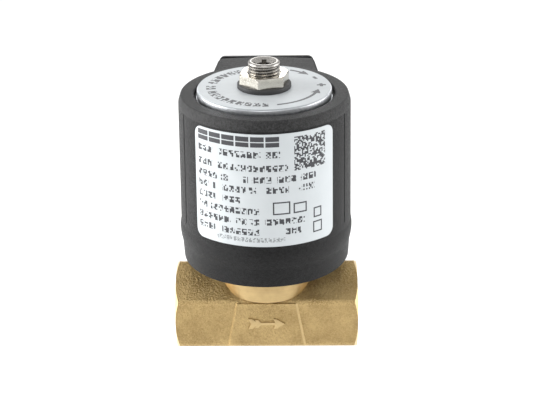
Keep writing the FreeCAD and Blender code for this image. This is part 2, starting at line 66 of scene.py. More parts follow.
camera_place = stem + Vector((8.1, -422.5, 225.3)) * mm
pitch = math.radians(23.906)
yaw = math.radians(-1.048)
roll = math.radians(-0.772)
forward = Vector((math.sin(yaw) * math.cos(pitch), math.cos(yaw) * math.cos(pitch),
                  -math.sin(pitch)))
level = Vector((math.cos(yaw), -math.sin(yaw), 0))
right = math.cos(roll) * level + math.sin(roll) * level.cross(forward)
camera_data = bpy.data.cameras.new("camera")
camera_data.lens = 96.29
camera_data.sensor_width = 36
camera_data.clip_start = 10 * mm
camera = bpy.data.objects.new("camera", camera_data)
turn = Matrix((right, right.cross(forward), -forward)).transposed()
camera.matrix_world = Matrix.Translation(camera_place) @ turn.to_4x4()
scene.collection.objects.link(camera)
scene.camera = camera


def soft_light(name, place, size, power):
    """A square soft box that faces the coil."""
    data = bpy.data.lights.new(name, "AREA")
    data.size = size
    data.energy = power
    light = bpy.data.objects.new(name, data)
    aim = stem + Vector((0, 0, 0.04)) - Vector(place)
    facing = aim.to_track_quat("-Z", "Y").to_matrix().to_4x4()
    light.matrix_world = Matrix.Translation(place) @ facing
    scene.collection.objects.link(light)


soft_light("left_box", (-0.70, 0.05, 0.22), 0.6, 9.6)
soft_light("right_box", (0.75, 0.10, 0.20), 0.6, 4.8)
soft_light("front_box", (0.05, -0.95, 0.80), 0.5, 4.3)
soft_light("rear_box", (0.05, 0.95, 0.62), 0.6, 3.6)

world = bpy.data.worlds.new("studio")
world.use_nodes = True
background = world.node_tree.nodes["Background"]
background.inputs["Color"].default_value = (1, 1, 1, 1)
background.inputs["Strength"].default_value = 0.6
scene.world = world


# ---- Floor ---------------------------------------------------------------------------------
# A plain white sheet of paper far below the valve. It isn't part of the object.
class Value:
    """A number that changes over a surface. Arithmetic on it adds Math nodes to its material."""

    def __init__(self, finish, socket):
        self.finish = finish
        self.socket = socket

    def math(self, operation, first, second=0.0):
        node = self.finish.node("ShaderNodeMath", {"operation": operation}, {0: first, 1: second})
        return Value(self.finish, node.outputs[0])

    def __add__(self, other):
        return self.math("ADD", self, other)

    def __sub__(self, other):
        return self.math("SUBTRACT", self, other)

    def __rsub__(self, other):
        return self.math("SUBTRACT", other, self)

    def __mul__(self, other):
        return self.math("MULTIPLY", self, other)

    def __truediv__(self, other):
        return self.math("DIVIDE", self, other)

    def __gt__(self, other):
        return self.math("GREATER_THAN", self, other)

    def __lt__(self, other):
        return self.math("LESS_THAN", self, other)

    def __abs__(self):
        return self.math("ABSOLUTE", self)

    def __or__(self, other):
        return self.math("MAXIMUM", self, other)

    def floor(self):
        return self.math("FLOOR", self)

    def fraction(self):
        return self.math("FRACT", self)

    def root(self):
        return self.math("SQRT", self)

    __radd__ = __add__
    __rmul__ = __mul__


class Finish:
    """A material with one Principled shader, built node by node.

    Its plain sockets are given by name, such as coat_weight=0.5.
    """

    def __init__(self, name, **sockets):
        self.material = bpy.data.materials.new(name)
        self.material.use_nodes = True
        self.tree = self.material.node_tree
        self.shader = self.tree.nodes["Principled BSDF"]
        for socket, value in sockets.items():
            label = socket.replace("_", " ").title().replace("Ior", "IOR")
            self.feed(self.shader.inputs[label], value)

    def feed(self, socket, value):
        """Sets a socket to a number or colour, or links it to a value or another socket."""
        if isinstance(value, Value):
            value = value.socket
        if isinstance(value, bpy.types.NodeSocket):
            self.tree.links.new(value, socket)
        elif isinstance(value, tuple):
            socket.default_value = (*value, 1.0)
        else:
            socket.default_value = value

    def node(self, kind, settings=(), inputs=()):
        """Any node: its settings first, then the values or links of its sockets."""
        made = self.tree.nodes.new(kind)
        for name, value in dict(settings).items():
            setattr(made, name, value)
        for name, value in dict(inputs).items():
            self.feed(made.inputs[name], value)
        return made

    def place(self):
        """The object's own coordinates, in metres."""
        return self.node("ShaderNodeTexCoord").outputs["Object"]

    def parts(self, vector):
        """The three numbers of a vector."""
        split = self.node("ShaderNodeSeparateXYZ", (), {0: vector})
        return [Value(self, socket) for socket in split.outputs]

    def noise(self, size, detail=2.0, rough=0.5):
        """Cloudy noise whose blotches are about one size across, in metres."""
        inputs = {"Vector": self.place(), "Scale": 1 / size, "Detail": detail, "Roughness": rough}
        return Value(self, self.node("ShaderNodeTexNoise", (), inputs).outputs["Fac"])

    def rings(self, along, size):
        """Noise that changes only with one distance, in steps about one size long."""
        inputs = {"W": along / size, "Scale": 1.0, "Detail": 2.0}
        made = self.node("ShaderNodeTexNoise", {"noise_dimensions": "1D"}, inputs)
        return Value(self, made.outputs["Fac"])

    def band(self, value, low, high):
        """1 where a value lies between two limits, 0 elsewhere."""
        return (value > low) * (value < high)

    def angle(self, over, up):
        """Angle of a direction from upwards, in degrees, positive towards over."""
        made = self.node("ShaderNodeMath", {"operation": "ARCTAN2"}, {0: over, 1: up})
        return Value(self, made.outputs[0]) * math.degrees(1)

    def between(self, value, low, high, start=0.0, end=1.0):
        """A value stretched from low..high to start..end, and held at both ends."""
        inputs = {"Value": value, "From Min": low, "From Max": high,
                  "To Min": start, "To Max": end}
        return Value(self, self.node("ShaderNodeMapRange", (), inputs).outputs["Result"])

    def blend(self, factor, first, second):
        """One colour turning into another."""
        inputs = {0: factor, 6: first, 7: second}
        return self.node("ShaderNodeMix", {"data_type": "RGBA"}, inputs).outputs[2]

    def relief(self, height, depth):
        """Fine relief that is depth metres high where height is 1."""
        inputs = {"Height": height, "Distance": depth, "Strength": 1.0}
        bump = self.node("ShaderNodeBump", (), inputs)
        self.feed(self.shader.inputs["Normal"], bump.outputs[0])

    def set(self, socket, value):
        self.feed(self.shader.inputs[socket], value)


paper = Finish("white_paper", roughness=0.9)
paper.set("Base Color", paper.blend(paper.noise(0.03), (0.92, 0.92, 0.92), (0.94, 0.94, 0.94)))
floor_shape = bmesh.new()
bmesh.ops.create_grid(floor_shape, x_segments=2, y_segments=2, size=6.0)
bmesh.ops.translate(floor_shape, vec=(0, 0, body_low.z - 0.14), verts=floor_shape.verts)
floor_mesh = bpy.data.meshes.new("floor")
floor_shape.to_mesh(floor_mesh)
floor_mesh.materials.append(paper.material)
floor = bpy.data.objects.new("floor", floor_mesh)
scene.collection.objects.link(floor)


# ---- Valve body ----------------------------------------------------------------------------
# A hot-pressed brass bar with six flats, shot-blasted to an even grain. A lathe has faced and
# chamfered both ends and turned the neck bright. The pads and the flow arrow are pressed, and
# handling has rubbed the arrow. The right flank of each pad is painted lighter with the same
# rubbed brass, as a painted highlight.
def soften(shape, sharp=32):
    """Soft shading that breaks only at corners of more than sharp degrees."""
    for face in shape.faces:
        face.smooth = True
    for edge in shape.edges:
        paired = len(edge.link_faces) == 2
        edge.smooth = paired and edge.calc_face_angle(0) < math.radians(sharp)


def piece(shape, name, *finishes):
    """An object made from a shape, at the origin."""
    soften(shape)
    mesh = bpy.data.meshes.new(name)
    shape.to_mesh(mesh)
    shape.free()
    for finish in finishes:
        mesh.materials.append(finish.material)
    made = bpy.data.objects.new(name, mesh)
    scene.collection.objects.link(made)
    return made


def on_body(made, body, slot, *nodes):
    """Attaches a piece to the body it moves with and hides the CAD nodes it replaces, if any. The
    slot argument is not used.
    """
    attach(made, body)
    if nodes:
        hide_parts(*nodes)


def outward(shape):
    """Merges what lies together and turns every face out."""
    bmesh.ops.remove_doubles(shape, verts=shape.verts, dist=0.0005 * mm)
    bmesh.ops.recalc_face_normals(shape, faces=shape.faces)


def rounded(shape, edges, radius, segments):
    """Rounds some of a shape's edges."""
    bmesh.ops.bevel(shape, geom=edges, offset=radius, offset_type="OFFSET", segments=segments,
                    profile=0.5, affect="EDGES", material=-1, clamp_overlap=True)


def turned(profile, steps=128, centre=stem, closed=True):
    """A lathe-turned or moulded ring, from (radius, height, corner rounding) in millimetres."""
    shape = bmesh.new()
    corners = []
    for radius, height, _ in profile:
        corners.append(shape.verts.new(centre + Vector((radius, 0, height)) * mm))
    ends = corners[1:] + corners[:1] if closed else corners[1:]
    for start, end in zip(corners, ends):
        shape.edges.new((start, end))
    bmesh.ops.spin(shape, geom=shape.verts[:] + shape.edges[:], cent=centre, axis=(0, 0, 1),
                   angle=2 * math.pi, steps=steps, use_merge=True)
    outward(shape)
    near = 0.002 * mm
    for radius, height, rounding in profile:
        if rounding == 0 or radius == 0:
            continue
        on_ring = {v for v in shape.verts if abs(v.co.z - centre.z - height * mm) < near
                   and abs((v.co - centre).xy.length - radius * mm) < near}
        ring = [edge for edge in shape.edges if on_ring.issuperset(edge.verts)]
        rounded(shape, ring, rounding * mm, 4)
    return shape


def carve(made, operation, shape, *finishes):
    """Joins or cuts a piece with a shape, whose faces bring their finishes along."""
    tool = piece(shape, "tool", *finishes)
    change = made.modifiers.new("carve", "BOOLEAN")
    change.operation = operation
    change.object = tool
    change.solver = "EXACT"
    change.material_mode = "TRANSFER"
    ready = made.evaluated_get(bpy.context.evaluated_depsgraph_get())
    mesh = bpy.data.meshes.new_from_object(ready)
    made.modifiers.clear()
    made.data = mesh
    bpy.data.objects.remove(tool)


def settle(made, sharp=32):
    """Cleans a carved piece and breaks its shading only at real corners."""
    shape = bmesh.new()
    shape.from_mesh(made.data)
    bmesh.ops.remove_doubles(shape, verts=shape.verts, dist=0.002 * mm)
    soften(shape, sharp)
    shape.to_mesh(made.data)
    shape.free()


length = (body_high.x - body_low.x) / mm
flats = 28.0
corner = flats / math.sqrt(3)
end_radius = flats / 2
port_radius = 8.33

pressed_brass = Finish("pressed_brass", metallic=1.0, roughness=0.5)
grain = pressed_brass.noise(0.42 * mm, 3.0, rough=0.75)
pits = pressed_brass.noise(0.8 * mm, 2.0)
cloud = pressed_brass.noise(8 * mm, 3.0)
across, deep, height = pressed_brass.parts(pressed_brass.place())
from_edge = abs(abs(height) - 7.9 * mm)
long_edge = pressed_brass.between(from_edge, 0.5 * mm, 1.2 * mm, 1.0, 0.0)
# The long edges of the front and rear flats are painted lighter, in speckled strips.
lighter_long_edges = (abs(deep) > 13.1 * mm) * long_edge * pressed_brass.between(grain, 0.45, 0.6, -0.1, 0.7)
tone = pressed_brass.between(0.9 * cloud + 0.4 * pits + grain, 0.85, 1.4) + lighter_long_edges
skin = pressed_brass.blend(tone, (0.28, 0.19, 0.078), (0.52, 0.377, 0.175))
pressed_brass.set("Base Color", skin)
pressed_brass.set("Roughness", pressed_brass.between(grain, 0.3, 0.7, 0.30, 0.52))
pressed_brass.relief(grain + 0.9 * pits + 0.6 * cloud, 0.26 * mm)


def lathe_brass(name, along, dark, light):
    """Bright brass with the fine rings that a lathe tool leaves along the profile."""
    finish = Finish(name, metallic=1.0, roughness=0.3)
    rings = finish.rings(along(finish), 0.3 * mm)
    haze = finish.noise(3 * mm)
    finish.set("Base Color", finish.blend(haze + 0.5 * rings, dark, light))
    finish.set("Roughness", finish.between(rings + 0.4 * haze, 0.4, 1.0, 0.28, 0.46))
    finish.relief(rings, 0.004 * mm)
    return finish


def up_the_neck(finish):
    across, deep, height = finish.parts(finish.place())
    return height


def across_the_ends(finish):
    across, deep, height = finish.parts(finish.place())
    return (deep * deep + height * height).root() + across


neck_brass = lathe_brass("neck_brass", up_the_neck, (0.31, 0.22, 0.10), (0.54, 0.395, 0.195))
end_brass = lathe_brass("end_brass", across_the_ends, (0.54, 0.40, 0.19), (0.74, 0.57, 0.30))


def rise_of(edge):
    """How much higher one end of an edge is than the other."""
    return abs(edge.verts[0].co.z - edge.verts[1].co.z)


def lay_down(shape):
    """Turns a shape made about the upright axis so that its heights run along the pipe."""
    bmesh.ops.rotate(shape, verts=shape.verts, cent=origin, matrix=quarter_y)
    return shape


origin = Vector((0, 0, 0))
quarter_y = Matrix.Rotation(math.pi / 2, 3, "Y")
hexagon = bmesh.new()
bmesh.ops.create_cone(hexagon, cap_ends=True, segments=6, radius1=corner * mm, radius2=corner * mm,
                      depth=(length + 4) * mm, matrix=Matrix.Rotation(math.pi / 2, 4, "Z"))
long_edges = [edge for edge in hexagon.edges if rise_of(edge) > 10 * mm]
rounded(hexagon, long_edges, 0.9 * mm, 5)
bmesh.ops.translate(hexagon, vec=(0, 0, length / 2 * mm), verts=hexagon.verts)
body = piece(lay_down(hexagon), "body_casting", pressed_brass)

reach = corner + 1.0
slope = (reach - end_radius) * math.tan(math.radians(30))
limit = turned([(0, 0, 0), (end_radius, 0, 0.12), (reach, slope, 0), (reach, length - slope, 0),
                (end_radius, length, 0.12), (0, length, 0)], 192, origin, False)
carve(body, "INTERSECT", lay_down(limit), end_brass)
root_radius = 13.8
neck_radius = 15.5
neck_top = 18.6
neck = turned([(0, 0, 0), (root_radius, 0, 0), (root_radius, 7.4, 0), (neck_radius, 8.6, 0.3),
               (neck_radius, neck_top, 0.4), (0, neck_top, 0)], 192, stem, False)
carve(body, "UNION", neck, neck_brass)

# Lighter, shinier brass. On the arrow it is wear from handling. On the right flank of each pad it
# is a painted highlight.
rubbed_and_lit_brass = Finish("rubbed_and_lit_brass", metallic=1.0, roughness=0.34)
rub = rubbed_and_lit_brass.noise(0.5 * mm, 3.0)
rubbed_and_lit_brass.set("Base Color", rubbed_and_lit_brass.blend(rub, (0.43, 0.31, 0.145), (0.60, 0.45, 0.235)))
rubbed_and_lit_brass.set("Roughness", rubbed_and_lit_brass.between(rub, 0.3, 0.7, 0.28, 0.46))
rubbed_and_lit_brass.relief(rub, 0.04 * mm)

pad_face = end_radius + 0.5


def pad(side):
    """Raised trapezoid with sloped flanks on the front or rear flat."""
    shape = bmesh.new()
    bmesh.ops.create_cube(shape, size=2.0)
    for corner_point in shape.verts:
        x, y, z = corner_point.co
        outer = y * side > 0
        half = 9.4 if z > 0 else 12.3
        spread = 0 if outer else 1.7
        depth = pad_face if outer else end_radius - 1.0
        low = -7.6 if outer else -8.4
        level = 7.75 if z > 0 else low
        corner_point.co = stem + Vector((x * (half + spread), side * depth, level)) * mm
    outer_edges = [e for e in shape.edges if all(v.co.y * side > end_radius * mm for v in e.verts)]
    rounded(shape, outer_edges, 0.35 * mm, 4)
    outward(shape)
    shape.normal_update()
    for face in shape.faces:
        # Faces turned to the right take the lighter brass: a painted highlight on each pad's right
        # flank.
        face.material_index = 1 if face.normal.x > 0.2 else 0
    return shape


for side in (-1, 1):
    carve(body, "UNION", pad(side), pressed_brass, rubbed_and_lit_brass)

tip = 6.0
outline = [(tip, 0), (3.5, 1.6), (2.3, 1.9), (2.7, 0.5), (-1.9, 0.5), (-2.7, 1.5), (-3.9, 1.6),
           (-3.5, 0.9), (-4.6, 1.8), (-tip, 1.9), (-5.0, 0)]
outline += [(x, -z) for x, z in reversed(outline[1:-1])]
arrow = bmesh.new()
sunk = 0.4 - pad_face
corners = [arrow.verts.new(stem + Vector((x, sunk, z + 0.5)) * mm) for x, z in outline]
face = arrow.faces.new(corners)
raised = bmesh.ops.extrude_face_region(arrow, geom=[face])
moved = [item for item in raised["geom"] if isinstance(item, bmesh.types.BMVert)]
bmesh.ops.translate(arrow, vec=(0, -0.78 * mm, 0), verts=moved)
outward(arrow)
top_edges = [edge for edge in arrow.edges if all(vert in moved for vert in edge.verts)]
rounded(arrow, top_edges, 0.28 * mm, 3)
carve(body, "UNION", arrow, rubbed_and_lit_brass)

port_mouth = port_radius + 1.7
port_depth = 13
inlet_cut = turned([(0, -1, 0), (port_mouth, -1, 0), (port_radius, 0.7, 0),
                    (port_radius, 11.8, 0), (8.1, 11.8, 0), (8.1, port_depth, 0),
                    (0, port_depth, 0)], 96, origin, False)
outlet_cut = turned([(0, length + 1, 0), (port_mouth, length + 1, 0),
                     (port_radius, length - 0.7, 0), (port_radius, length - port_depth, 0),
                     (0, length - port_depth, 0)], 96, origin, False)
bonnet_top = 19.6
stem_cut = turned([(0, -3.4, 0), (4, -3.4, 0), (4, 1.2, 0), (6, 1.2, 0), (6, 2.5, 0),
                   (10.5, 2.5, 0), (10.5, 8.6, 0), (11, 8.6, 0), (11, 17.4, 0), (12.2, 17.4, 0),
                   (12.2, bonnet_top, 0), (0, bonnet_top, 0)], 96, stem, False)
way = 3.8
inlet_way = turned([(0, 12, 0), (way, 12, 0), (way, 21.2, 0), (0, 21.2, 0)], 48, origin, False)
outlet_way = turned([(0, 27, 0), (way, 27, 0), (way, 47.5, 0), (0, 47.5, 0)], 48, origin, False)
for cutter, lift, laid in ((inlet_cut, 0, True), (outlet_cut, 0, True), (stem_cut, 0, False),
                           (inlet_way, 4.4, True), (outlet_way, -3.4, True)):
    if laid:
        lay_down(cutter)
    bmesh.ops.translate(cutter, vec=(0, 0, lift * mm), verts=cutter.verts)
    carve(body, "DIFFERENCE", cutter, end_brass)
settle(body)
on_body(body, "valve_body", "cast_brass", "valve_body")


# ---- Port threads --------------------------------------------------------------------------
# Pipe thread cut in both ports, 19 turns to the inch. Each is one helical ridge left standing
# between the grooves, of the same bright brass as the ends.
def thread(root, crest, pitch, low, high):
    """A V thread as one helical ridge about the upright axis, in millimetres."""
    shape = bmesh.new()
    steps = 48
    sunk = root + 0.05 * (root - crest) / abs(root - crest)
    foot, top = 0.44 * pitch, 0.07 * pitch
    section = [(sunk, -foot), (crest, -top), (crest, top), (sunk, foot)]
    corners = [shape.verts.new(Vector((radius, 0, low + rise)) * mm) for radius, rise in section]
    for start, end in zip(corners, corners[1:] + corners[:1]):
        shape.edges.new((start, end))
    turns = (high - low) / pitch
    count = round(turns * steps)
    bmesh.ops.spin(shape, geom=shape.verts[:] + shape.edges[:], cent=origin, axis=(0, 0, 1),
                   dvec=(0, 0, pitch / steps * mm), angle=2 * math.pi * count / steps, steps=count,
                   use_merge=False)
    bmesh.ops.holes_fill(shape, edges=shape.edges, sides=4)
    outward(shape)
    return shape


pipe_pitch = 25.4 / 19
pipe_crest = port_radius - 0.82
for name, low, high in (("inlet_thread", 1.3, 11.2),
                        ("outlet_thread", length - 12.2, length - 1.3)):
    ridge = lay_down(thread(port_radius, pipe_crest, pipe_pitch, low, high))
    on_body(piece(ridge, name, end_brass), "valve_body", "cast_brass")


# ---- Coil housing --------------------------------------------------------------------------
# Glass-filled nylon moulded over the coil in one shot with its terminal box: a drafted drum with a
# bead round its foot and a sloped shoulder, with a fine spark-eroded grain. Its top is painted
# paler, as painted light from above.
coil_plastic = Finish("coil_plastic", roughness=0.5, specular_ior_level=0.23)
erosion = coil_plastic.noise(0.5 * mm, 4.0, rough=0.8)
mottle = coil_plastic.noise(1.1 * mm, 3.0)
drift = coil_plastic.noise(14 * mm, 2.0)
shade = coil_plastic.between(erosion + 0.3 * mottle + 0.2 * drift, 0.66, 0.86)
across, deep, height = coil_plastic.parts(coil_plastic.place())
plain_plastic = coil_plastic.blend(shade, (0.0, 0.0, 0.0), (0.012, 0.012, 0.0125))
lit_top_plastic = coil_plastic.blend(shade, (0.012, 0.012, 0.012), (0.042, 0.042, 0.0425))
# Painted light: from 71.7 mm up to the rim the plastic turns paler, as if lit from above. This
# takes in the shoulder and the top of the terminal box.
painted_top_light = coil_plastic.between(height, 71.7 * mm, 72.1 * mm)
coil_plastic.set("Base Color", coil_plastic.blend(painted_top_light, plain_plastic, lit_top_plastic))
coil_plastic.set("Roughness", coil_plastic.between(erosion, 0.35, 0.65, 0.38, 0.66))
coil_plastic.relief(erosion + 0.3 * mottle, 0.3 * mm)

coil_low, coil_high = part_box("coil_housing")
foot = coil_low.z / mm
rim = coil_high.z / mm
bead = 27.8
drum_shape = turned([(0, foot, 0), (26.8, foot, 0.35), (27.15, 26.0, 0.6), (bead, 28.8, 1.4),
                     (bead, 31.6, 0.9), (27.46, 32.7, 0.25), (27.06, 72.7, 0.35),
                     (26.3, rim, 0.35), (0, rim, 0)], 192, stem, False)
drum = piece(drum_shape, "coil_drum", coil_plastic)

box_rear = coil_high.y / mm
box_low = 38.0
box_high = 72.0
terminal_box = bmesh.new()
bmesh.ops.create_cube(terminal_box, size=2.0)
for point in terminal_box.verts:
    x, y, z = point.co
    half = 16.4 if y > 0 else 18.9
    back = box_rear if y > 0 else 18.0
    point.co = stem + Vector((x * half, back, box_high if z > 0 else box_low)) * mm
uprights = [edge for edge in terminal_box.edges
            if rise_of(edge) > 10 * mm and edge.verts[0].co.y > 30 * mm]
rounded(terminal_box, uprights, 2.0 * mm, 6)
side_edges = []
for edge in terminal_box.edges:
    depths = [vert.co.y for vert in edge.verts]
    level_edge = rise_of(edge) < 0.001 * mm
    if level_edge and max(depths) > 20 * mm and min(depths) <= (box_rear - 0.01) * mm:
        side_edges.append(edge)
rounded(terminal_box, side_edges, 1.5 * mm, 6)
outward(terminal_box)
carve(drum, "UNION", terminal_box, coil_plastic)

tube_hole = 12.2
iron_radius = 21.5
iron_foot = 21.5
disc_seat = 73.6
hollow = turned([(0, foot - 1, 0), (tube_hole, foot - 1, 0), (tube_hole, iron_foot, 0),
                 (iron_radius, iron_foot, 0), (iron_radius, disc_seat, 0), (22.1, disc_seat, 0),
                 (22.1, rim - 0.3, 0), (22.4, rim + 0.01, 0), (22.4, rim + 1, 0),
                 (0, rim + 1, 0)], 192, stem, False)
carve(drum, "DIFFERENCE", hollow, coil_plastic)


def brick(low, high, turn=0.0):
    """Plain block between two corners, in millimetres from the stem, turned about it in degrees."""
    shape = bmesh.new()
    bmesh.ops.create_cube(shape, size=1.0)
    middle = (Vector(low) + Vector(high)) / 2 * mm
    size = (Vector(high) - Vector(low)) * mm
    bmesh.ops.scale(shape, vec=size, verts=shape.verts)
    bmesh.ops.translate(shape, vec=middle, verts=shape.verts)
    bmesh.ops.rotate(shape, verts=shape.verts, cent=origin,
                     matrix=Matrix.Rotation(math.radians(turn), 3, "Z"))
    bmesh.ops.translate(shape, vec=stem, verts=shape.verts)
    return shape


carve(drum, "DIFFERENCE", brick((-13, 28.6, 40.5), (13, 50, 69.5)), coil_plastic)
for side in (-66, 66):
    carve(drum, "DIFFERENCE", brick((-0.25, -28, 35), (0.25, -26.75, 71.8), side), coil_plastic)
gland_y = 36.8
screw_places = [(x, z) for x in (-12.4, 12.4) for z in (42.0, 68.0)]


def to_rear(profile, steps, x, z):
    """A turned shape whose axis points to the rear, x millimetres from the stem and z up."""
    shape = turned(profile, steps, origin, False)
    bmesh.ops.rotate(shape, verts=shape.verts, cent=origin,
                     matrix=Matrix.Rotation(-math.pi / 2, 3, "X"))
    bmesh.ops.translate(shape, vec=stem + Vector((x, 0, z)) * mm, verts=shape.verts)
    return shape


def pillar(radius, low, high, x, z, steps=32):
    """A round bar that points to the rear."""
    return to_rear([(0, low, 0), (radius, low, 0), (radius, high, 0), (0, high, 0)], steps, x, z)


for x, z in screw_places:
    carve(drum, "UNION", pillar(2.8, 33, box_rear - 0.05, x, z), coil_plastic)
    carve(drum, "DIFFERENCE", pillar(1.55, 35, 50, x, z, 24), coil_plastic)
gland_hole = turned([(0, 37, 0), (6.02, 37, 0), (6.02, 42, 0), (0, 42, 0)], 48,
                    stem + Vector((0, gland_y, 0)) * mm, False)
carve(drum, "DIFFERENCE", gland_hole, coil_plastic)
settle(drum, 30)
on_body(drum, "coil", "coil_plastic", "coil_housing")


# ---- Rating label --------------------------------------------------------------------------
# Silver-white polyester film with rounded corners, stuck round the front of the drum. Its print is
# greeked: a plain heading bar, rows of meaningless marks and a patch of random squares.
label_low, label_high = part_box("rating_label")
wall_low = (27.46, 32.9)
wall_high = (27.06, 72.7)
bend_radius = 27.27  # the drum's middle radius behind the film
label_half = bend_radius * math.radians(50.1)
film_thickness = 0.13
print_size = 100  # millimetres to one unit of the print's UV map
label_bottom = label_low.z / mm
label_top = label_high.z / mm


def wall_radius(height):
    """The drum's drafted radius at a height, in millimetres."""
    along = (height - wall_low[1]) / (wall_high[1] - wall_low[1])
    return wall_low[0] + along * (wall_high[0] - wall_low[0])


sheet = bmesh.new()
flat = [(-label_half, label_bottom), (label_half, label_bottom),
        (label_half, label_top), (-label_half, label_top)]
sheet.faces.new([sheet.verts.new((x, 0, z)) for x, z in flat])
bmesh.ops.bevel(sheet, geom=sheet.verts[:], offset=2.8, offset_type="OFFSET", segments=10,
                profile=0.5, affect="VERTICES", material=-1)
slices = 96
for index in range(1, slices):
    cut = -label_half + 2 * label_half * index / slices
    whole = sheet.verts[:] + sheet.edges[:] + sheet.faces[:]
    bmesh.ops.bisect_plane(sheet, geom=whole, plane_co=(cut, 0, 0), plane_no=(1, 0, 0))
uv = sheet.loops.layers.uv.new("print")
for face in sheet.faces:
    for loop in face.loops:
        loop[uv].uv = (loop.vert.co.x / print_size, loop.vert.co.z / print_size)
thick = bmesh.ops.extrude_face_region(sheet, geom=sheet.faces[:])
lifted = {item for item in thick["geom"] if isinstance(item, bmesh.types.BMVert)}
for point in sheet.verts:
    angle = point.co.x / bend_radius
    radius = wall_radius(point.co.z) + (film_thickness if point in lifted else 0.0)
    x, y = radius * math.sin(angle), -radius * math.cos(angle)
    point.co = stem + Vector((x, y, point.co.z)) * mm
outward(sheet)

label_film = Finish("label_film", roughness=0.4, specular_ior_level=0.4)
flat_place = label_film.node("ShaderNodeUVMap", {"uv_map": "print"}).outputs[0]
print_x, print_z, _ = label_film.parts(flat_place)
print_x = print_x * print_size
print_z = print_z * print_size


def window(left, right, low, high):
    """1 inside a rectangle of the label, in millimetres."""
    return label_film.band(print_x, left, right) * label_film.band(print_z, low, high)


def marks(finish, x, y, width, height, letter, share=0.64):
    """Random squares in letter-wide groups, that look like small print and say nothing."""
    column = (x / width).floor()
    row = (y / height).floor()
    cell = finish.node("ShaderNodeCombineXYZ", (), {0: column, 1: row})
    chance = finish.node("ShaderNodeTexWhiteNoise", {"noise_dimensions": "2D"},
                         {"Vector": cell.outputs[0]})
    inked = Value(finish, chance.outputs["Value"]) > 1 - share
    return inked * ((x / letter).fraction() < 0.8)


rows = [(63.6, ((-22.5, -16.5), (-14.0, -0.9), (0.6, 5.0))),
        (59.2, ((-22.3, -16.5), (-14.6, 7.4))),
        (55.5, ((-22.4, -15.0), (-13.6, -11.0), (-6.3, -4.8), (-3.6, 2.5), (4.0, 10.0),
                (11.4, 16.7))),
        (52.1, ((-22.5, -18.3), (-17.0, -15.7), (-13.2, -5.6), (-4.6, -2.4), (0.5, 7.6),
                (10.8, 16.2))),
        (48.6, ((-22.5, -15.8), (-13.2, -7.4))),
        (45.1, ((-22.6, -19.0), (-17.6, -1.4))),
        (41.6, ((-22.8, -10.6), (-8.8, -1.4), (0.2, 12.7))),
        (38.2, ((-22.8, -16.0), (-13.5, -1.5), (6.5, 11.5)))]
lines = None
for base, words in rows:
    for start, end in words:
        word = window(start, end, base, base + 2.05)
        lines = word if lines is None else lines | word
letters = lines * marks(label_film, print_x + 30, print_z - 0.1, 0.48, 0.51, 1.92)
heading = window(-22.4, 5.2, 67.1, 70.4) * (1 - label_film.band(print_z, 68.55, 68.85))
heading = heading * (((print_x + 22.4) / 4.6).fraction() < 0.9)
patch = window(9.4, 20.4, 59.0, 69.9) * marks(label_film, print_x, print_z, 0.44, 0.44, 900)
foot_note = window(-15.4, 6.3, 35.9, 37.4) * 0.6
foot_note = foot_note * marks(label_film, print_x, print_z, 0.3, 0.37, 1.2)
line = 0.45
frames = None
for left, low, right, high in ((2.6, 45.0, 8.0, 49.2), (9.0, 45.0, 13.4, 48.4),
                               (15.8, 42.2, 18.8, 45.6), (15.6, 37.2, 19.0, 41.0)):
    inside = window(left + line, right - line, low + line, high - line)
    ring = window(left, right, low, high) * (1 - inside)
    frames = ring if frames is None else frames | ring
ink = letters | heading | patch | foot_note | frames
sheen = label_film.noise(5 * mm, 3.0)
silver = label_film.blend(sheen, (0.51, 0.545, 0.56), (0.57, 0.60, 0.615))
label_film.set("Base Color", label_film.blend(ink * 0.97, silver, (0.03, 0.03, 0.035)))
gloss = label_film.noise(0.5 * mm)
label_film.set("Roughness", label_film.between(gloss, 0.3, 0.7, 0.34, 0.48))
label_film.relief(label_film.noise(2.5 * mm, 2.0), 0.01 * mm)
rating = piece(sheet, "rating_film", label_film)
on_body(rating, "coil", "label_film", "rating_label")


# ---- Top disc and dial ---------------------------------------------------------------------
# The steel disc that closes the iron circuit, zinc plated, its rim bare above the drum. On it
# lies a printed film ring with two curved arrows, plus and minus, and a greeked line of print.
disc_low, disc_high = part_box("top_plate")
disc_radius = (disc_high.x - disc_low.x) / 2 / mm
disc_foot = disc_low.z / mm
disc_top = disc_high.z / mm
zinc = Finish("zinc_plate", metallic=1.0, roughness=0.3)
cells = zinc.node("ShaderNodeTexVoronoi", (), {"Vector": zinc.place(), "Scale": 1300})
crystals = Value(zinc, cells.outputs["Distance"])
scuffs = zinc.noise(0.7 * mm, 4.0, rough=0.7)
zinc.set("Base Color", zinc.blend(scuffs, (0.50, 0.52, 0.54), (0.72, 0.74, 0.76)))
zinc.set("Roughness", zinc.between(scuffs, 0.3, 0.7, 0.28, 0.5))
zinc.relief(crystals + scuffs, 0.004 * mm)
disc_hole = 7.6
disc = turned([(disc_hole, disc_foot, 0), (disc_radius, disc_foot, 0.1),
               (disc_radius, disc_top, 0.28), (disc_hole, disc_top, 0)], 192)
on_body(piece(disc, "top_disc", zinc), "coil", "zinc_plate", "top_plate")

